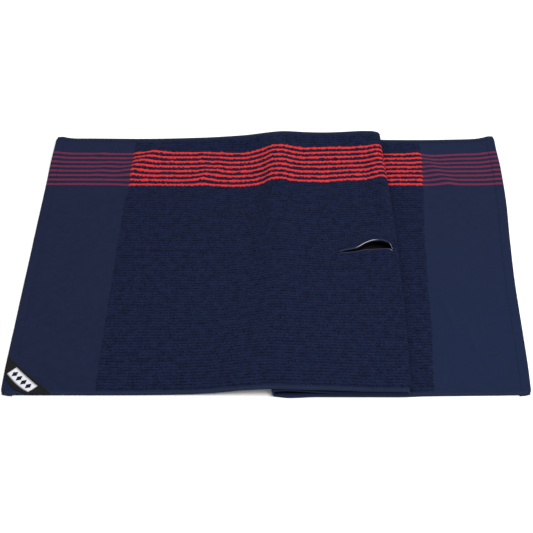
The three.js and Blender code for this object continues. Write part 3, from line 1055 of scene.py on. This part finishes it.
def stitch_row(name, places, high, material):
    """A row of lockstitches: each is a small bead of thread, lying at (s, y) and turned along its row."""
    bm = bmesh.new()
    length = sizes().stitch * 0.42
    for s, y, lengthwise in places:
        half = (length, 0.00028) if lengthwise else (0.00028, length)
        size = Matrix.Diagonal((half[0], half[1], 0.00022, 1.0))
        bmesh.ops.create_uvsphere(bm, u_segments=6, v_segments=4, radius=1.0,
                                  matrix=Matrix.Translation((s, y, 0)) @ size)
    obj = to_object(bm, name, material)
    flat = flat_points(obj.data)
    s, y = flat[:, 0], flat[:, 1]
    centre = np.repeat(np.array([(p[0], p[1]) for p in places]), len(flat) // len(places), axis=0)
    h = high(centre[:, 0], centre[:, 1]) + flat[:, 2] + 0.0001
    map_and_place(obj.data, s, y, lay_beads(s, y, h, centre))
    return obj


def lay_beads(s, y, h, centre):
    """Lays beads of thread by their rows, so that few heights of the path are worked out."""
    world = lay(s, centre[:, 1], h, np.zeros(len(s)))
    world[:, 1] += y - centre[:, 1]
    return world


def thread_material():
    return woven_material("Hem Thread", [c * 0.62 for c in colours().hem], 0.0003, 0.3, 0.0, 0.6)


class TOWEL_OT_stitching(bpy.types.Operator):
    """Sew the rows of lockstitch along the hems."""

    bl_idname = "towel.stitching"
    bl_label = "Hem Stitching"

    def execute(self, context):
        step = sizes().stitch
        end_colour = [v * 1.15 for v in colours().flat_weave]
        end_thread = woven_material("End Thread", end_colour, 0.0003, 0.3, 0.0, 0.6)
        for side, sign in (("front", -1), ("back", 1)):
            y = sign * (EDGE - HEM_WIDTH + 0.0014)
            for layer, (low, high) in SPANS.items():
                low = 0.066 if (side, layer) == ("front", "upper") else max(low, 0.015) + step / 2
                high = min(high, LENGTH - 0.015)
                count = int((high - low) / step)
                places = [(low + i * step, y, True) for i in range(count)]
                obj = stitch_row(f"{side}_hem_{layer}_stitches", places, long_hem_top, thread_material())
                follow_layer(obj, layer)
                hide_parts(f"{side}_stitching_{layer}")
        for end, body, s in (("left", "upper_panel", END_HEM - 0.0018),
                             ("right", "lower_panel", LENGTH - END_HEM + 0.0018)):
            start = -EDGE + (0.066 if end == "left" else 0.008)
            count = int((EDGE - 0.008 - start) / step)
            places = [(s, start + i * step, False) for i in range(count)]
            obj = stitch_row(f"{end}_end_hem_stitches", places, end_hem_top, end_thread)
            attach(obj, body)
            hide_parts(f"{end}_end_stitching")
        return {"FINISHED"}


# ---- The slit's facing tape, rim and bartacks ----
# The facing is real black tape, cut wider than a real facing so that its black also paints the shade seen
# deep inside the slit.
FACING_WIDTH = 0.024
BINDING_WIDTH = 0.0012
PIPING_WIDTH = 0.0010


def level(height):
    return lambda s, y: np.full_like(s, height)


def binding_top(s, y):
    return cloth_top(s, y) - 0.0008 + 0.0009 * smoothstep(0, 0.15, slit_open(s))


def piping_top(s, y):
    off = np.abs(y - SLIT_Y)
    dome = np.sqrt(np.clip(1 - ((off - 0.4 * PIPING_WIDTH) / (0.7 * PIPING_WIDTH)) ** 2, 0, 1))
    return cloth_top(s, y) - 0.0007 + (0.0006 + 0.0009 * dome) * smoothstep(0, 0.15, slit_open(s))


def piping_bottom(s, y):
    return cloth_top(s, y) - 0.0012


def slit_grid(layer, half_width, over):
    if layer == "upper":
        low, high = SLIT_TIPS[0], UPPER_END
        outer = (low - over, high)
    else:
        low, high = UPPER_END, SLIT_TIPS[1]
        outer = (low, high + over)
    along = merged(grid_lines((outer[0], outer[1], 0.0025)) + [low, high])
    rows = [SLIT_Y + half_width * part / 5 for part in range(-5, 6)]
    bm = flat_grid(along, rows)
    open_slit(bm, (low, high))
    return bm


def piping_material():
    """Dark satin piping, with a painted highlight where the far lip bends up and round, and a weaker one on
    the hook by the right fold.
    """
    found = bpy.data.materials.get("Slit Piping")
    if found:
        return found
    material, n, shader, uv = cloth_shader("Slit Piping")
    weave = use_group(n, plain_weave_group(), uv, Thread=0.0005)
    x, y, _ = n.split(uv)
    # Painted highlight: pale along the far lip where it bends up, and at half strength on the hook by the
    # right fold.
    bend = n.times(n.ramp(x, 0.451, 0.461), n.minus(1.0, n.ramp(x, 0.476, 0.486)))
    bend = n.times(bend, n.math("GREATER_THAN", y, EDGE + SLIT_Y))
    end = n.times(n.ramp(x, 0.4995, 0.5012), n.minus(1.0, n.ramp(x, 0.505, 0.507)))
    painted_light_share = n.plus(bend, n.times(end, 0.5), clamp=True)
    dark = n.mix(weave["Shade"], (0.026, 0.028, 0.056, 1.0), (0.044, 0.048, 0.090, 1.0))
    painted_highlight_colour = n.mix(weave["Shade"], (0.36, 0.36, 0.43, 1.0), (0.54, 0.54, 0.62, 1.0))
    n.put(shader.inputs["Base Color"], n.mix(painted_light_share, dark, painted_highlight_colour))
    shader.inputs["Roughness"].default_value = 0.6
    add_bump(n, shader, weave["Height"], 0.4, 0.0004)
    return material


class TOWEL_OT_slit(bpy.types.Operator):
    """Face the club slit with tape, bind its lips and pipe them."""

    bl_idname = "towel.slit"
    bl_label = "Slit Facing"

    def execute(self, context):
        tape = woven_material("Facing Tape", colours().tape, 0.0006, 0.5, 0.0, 0.8)
        for layer in ("upper", "middle"):
            replaced = [f"slit_binding_{layer}"]
            if layer == "upper":
                replaced += ["slit_binding_fold_front", "slit_binding_fold_back"]
            # The wide black facing also stands in for the shade inside the slit (painted shade).
            facing = laid_piece(f"slit_facing_{layer}", slit_grid(layer, FACING_WIDTH, 0.009),
                                level(0.0001), level(-0.0008), tape)
            follow_layer(facing, layer)
            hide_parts(*replaced)
            for name, width, top, bottom, material in (
                    ("bound_lips", BINDING_WIDTH, binding_top, level(-0.0009), tape),
                    ("piping", PIPING_WIDTH, piping_top, piping_bottom, piping_material())):
                lip = laid_piece(f"slit_{name}_{layer}", slit_grid(layer, width, 0.0), top, bottom, material)
                follow_layer(lip, layer)
        return {"FINISHED"}


class TOWEL_OT_bartacks(bpy.types.Operator):
    """Sew a bartack across each tip of the slit."""

    bl_idname = "towel.bartacks"
    bl_label = "Bartacks"

    def execute(self, context):
        black = woven_material("Bartack Thread", (0.012, 0.014, 0.022), 0.0003, 0.4, 0.0, 0.6)
        step = 0.0006
        for layer, tip, outward in (("upper", SLIT_TIPS[0], -1), ("middle", SLIT_TIPS[1], 1)):
            places = [(tip + outward * (0.001 + i * step), SLIT_Y, False) for i in range(10)]
            obj = stitch_row(f"slit_bartack_{layer}_stitches", places, cloth_top, black)
            follow_layer(obj, layer)
            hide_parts(f"slit_bartack_{layer}")
        return {"FINISHED"}


# ---- The corner label ----
LABEL_SIZE = 0.0645
LABEL_SIDE = 0.0635  # how far up the left side it reaches
LABEL_ARC = (0.0528, 0.057)  # the outer edge's centre, from both towel edges, and its radius
LABEL_THICK = 0.0007


def under_label(s, y):
    """The towel's top surface below the label, where the label spans its steps."""
    long_step = 1 - smoothstep(HEM_WIDTH - 0.001, HEM_WIDTH + 0.004, EDGE + y)
    end_step = 1 - smoothstep(END_HEM - 0.001, END_HEM + 0.004, s)
    hem = sizes().hem * long_step
    return np.maximum(np.maximum(hem, END_HEM_HEIGHT * end_step), sizes().flat_weave)


def label_edge(s, y):
    """Distance from the label's straight inner edge."""
    return (1 - s / LABEL_SIZE - (y + EDGE) / LABEL_SIDE) * LABEL_SIDE / math.sqrt(2)


def label_top(s, y):
    rounded = 1 - smoothstep(0.0, 0.0008, label_edge(s, y))
    return under_label(s, y) + LABEL_THICK * (1 - 0.5 * rounded)


def label_bottom(s, y):
    return under_label(s, y) + 0.00005


def label_grid(step):
    """A square of cloth trimmed to the label's inner edge and round outer edge."""
    lines = grid_lines((0.0, LABEL_SIZE, step))
    bm = flat_grid(lines, [y - EDGE for y in lines])
    centre, radius = LABEL_ARC
    trims = [(Vector((LABEL_SIZE, -EDGE, 0)), Vector((LABEL_SIDE, LABEL_SIZE, 0)).normalized())]
    for i in range(25):
        angle = math.radians(180 + 90 * i / 24)
        outward = Vector((math.cos(angle), math.sin(angle), 0))
        trims.append((Vector((centre, centre - EDGE, 0)) + outward * radius, outward))
    for place, normal in trims:
        geometry = bm.verts[:] + bm.edges[:] + bm.faces[:]
        bmesh.ops.bisect_plane(
            bm, geom=geometry, dist=1e-6, plane_co=place, plane_no=normal, clear_outer=True)
    bmesh.ops.remove_doubles(bm, verts=bm.verts[:], dist=1e-5)
    return bm


# The badge is a band across the corner, bowed towards it. "reach" is s + y from the corner.
BADGE_HALF = 0.0307
BADGE_OFF = 0.0002
BADGE_OUTER = (0.0340, 0.0028)
BADGE_INNER = (0.0582, 0.0004)


def badge_point(a, b):
    """Cloth place of the badge at a along it, from -1 to 1, and b across it, from 0 to 1."""
    outer = BADGE_OUTER[0] + BADGE_OUTER[1] * a * a
    inner = BADGE_INNER[0] + BADGE_INNER[1] * a * a
    reach = outer + (inner - outer) * b
    slant = BADGE_OFF + BADGE_HALF * a
    return (reach + slant) / 2, (reach - slant) / 2 - EDGE


def badge_grid(a_range, b_range, steps):
    a_lines = grid_lines((*a_range, (a_range[1] - a_range[0]) / steps[0]))
    b_lines = grid_lines((*b_range, (b_range[1] - b_range[0]) / steps[1]))
    bm = flat_grid(a_lines, b_lines)
    for v in bm.verts:
        v.co = (*badge_point(v.co.x, v.co.y), 0)
    return bm


class TOWEL_OT_label(bpy.types.Operator):
    """Sew the woven label and its badge on the front left corner."""

    bl_idname = "towel.label"
    bl_label = "Corner Label"

    def execute(self, context):
        black = woven_material("Label Weave", (0.0085, 0.0085, 0.0095), 0.0007, 0.5, 0.02, 0.8)
        white = woven_material("Badge Thread", colours().badge, 0.0005, 0.5, 0.0, 0.7, 0.06)
        # The grey border is partly a woven border and partly painted shade along the badge's bevelled edge.
        border_and_painted_shade = woven_material("Badge Border And Painted Shade", (0.30, 0.29, 0.30), 0.0005, 0.5, 0.0, 0.7, 0.1)
        patch = laid_piece("label_patch_woven", label_grid(0.0016), label_top, label_bottom, black)
        self.fix(patch, "label_patch", "label")

        def raised(amount):
            return lambda s, y: label_top(s, y) + amount

        border = laid_piece("label_badge_border", badge_grid((-1.0, 1.0), (0.0, 1.0), (32, 12)),
                            raised(0.00030), raised(-0.0002), border_and_painted_shade)
        self.fix(border, None, "badge")
        field = laid_piece("label_badge_field", badge_grid((-0.965, 0.965), (0.07, 0.89), (32, 12)),
                           raised(0.00055), raised(0.0), white)
        self.fix(field, "label_badge", "badge")
        self.build_diamonds(black, raised)
        self.build_stitches(black)
        return {"FINISHED"}

    @staticmethod
    def fix(obj, node, slot):
        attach(obj, "upper_panel")
        if node:
            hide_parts(node)

    def build_diamonds(self, material, raised):
        """A plain row of four diamonds along the badge."""
        bm = bmesh.new()
        for i in range(4):
            a, b = -0.63 + 0.42 * i, 0.48
            corners = [badge_point(a - 0.16, b), badge_point(a, b - 0.32), badge_point(a + 0.16, b),
                       badge_point(a, b + 0.32)]
            made = bmesh.ops.create_circle(bm, cap_ends=True, segments=4, radius=1.0)
            for v, corner in zip(made["verts"], corners):
                v.co = (*corner, 0)
        bmesh.ops.subdivide_edges(bm, edges=bm.edges[:], cuts=3, use_grid_fill=True)
        obj = laid_piece("label_diamonds", bm, raised(0.00080), raised(0.0004), material)
        self.fix(obj, None, "label")

    def build_stitches(self, material):
        places = []
        step = inset = 0.0030
        inner = 1 - inset / LABEL_SIDE
        count = int(math.hypot(LABEL_SIZE, LABEL_SIDE) / step)
        for i in range(1, count):
            part = i / count
            places.append((inner * part * LABEL_SIZE, inner * (1 - part) * LABEL_SIDE - EDGE, True))
        obj = stitch_row("label_stitches", places, label_top, material)
        self.fix(obj, "label_stitching", "thread")


class TOWEL_PT_panel(bpy.types.Panel):
    """The steps that build the towel, and its sizes and colours."""

    bl_label = "Golf Towel"
    bl_idname = "TOWEL_PT_panel"
    bl_space_type = "VIEW_3D"
    bl_region_type = "UI"
    bl_category = "Golf Towel"

    def draw(self, context):
        for group in (context.scene.towel_sizes, context.scene.towel_colours):
            box = self.layout.box()
            for name in group.__annotations__:
                box.prop(group, name)
        for operator in STEPS:
            self.layout.operator(operator.bl_idname)


STEPS = (
    TOWEL_OT_stage,
    TOWEL_OT_cloth,
    TOWEL_OT_hems,
    TOWEL_OT_stitching,
    TOWEL_OT_slit,
    TOWEL_OT_bartacks,
    TOWEL_OT_label,
)
CLASSES = (TowelSizes, TowelColours, *STEPS, TOWEL_PT_panel)


def register():
    for cls in CLASSES:
        bpy.utils.register_class(cls)
    bpy.types.Scene.towel_sizes = PointerProperty(type=TowelSizes)
    bpy.types.Scene.towel_colours = PointerProperty(type=TowelColours)


def unregister():
    del bpy.types.Scene.towel_colours
    del bpy.types.Scene.towel_sizes
    for cls in reversed(CLASSES):
        bpy.utils.unregister_class(cls)


def main():
    register()
    bpy.ops.towel.stage()
    bpy.ops.towel.cloth()
    bpy.ops.towel.hems()
    bpy.ops.towel.stitching()
    bpy.ops.towel.slit()
    bpy.ops.towel.bartacks()
    bpy.ops.towel.label()


if __name__ == "__main__":
    main()
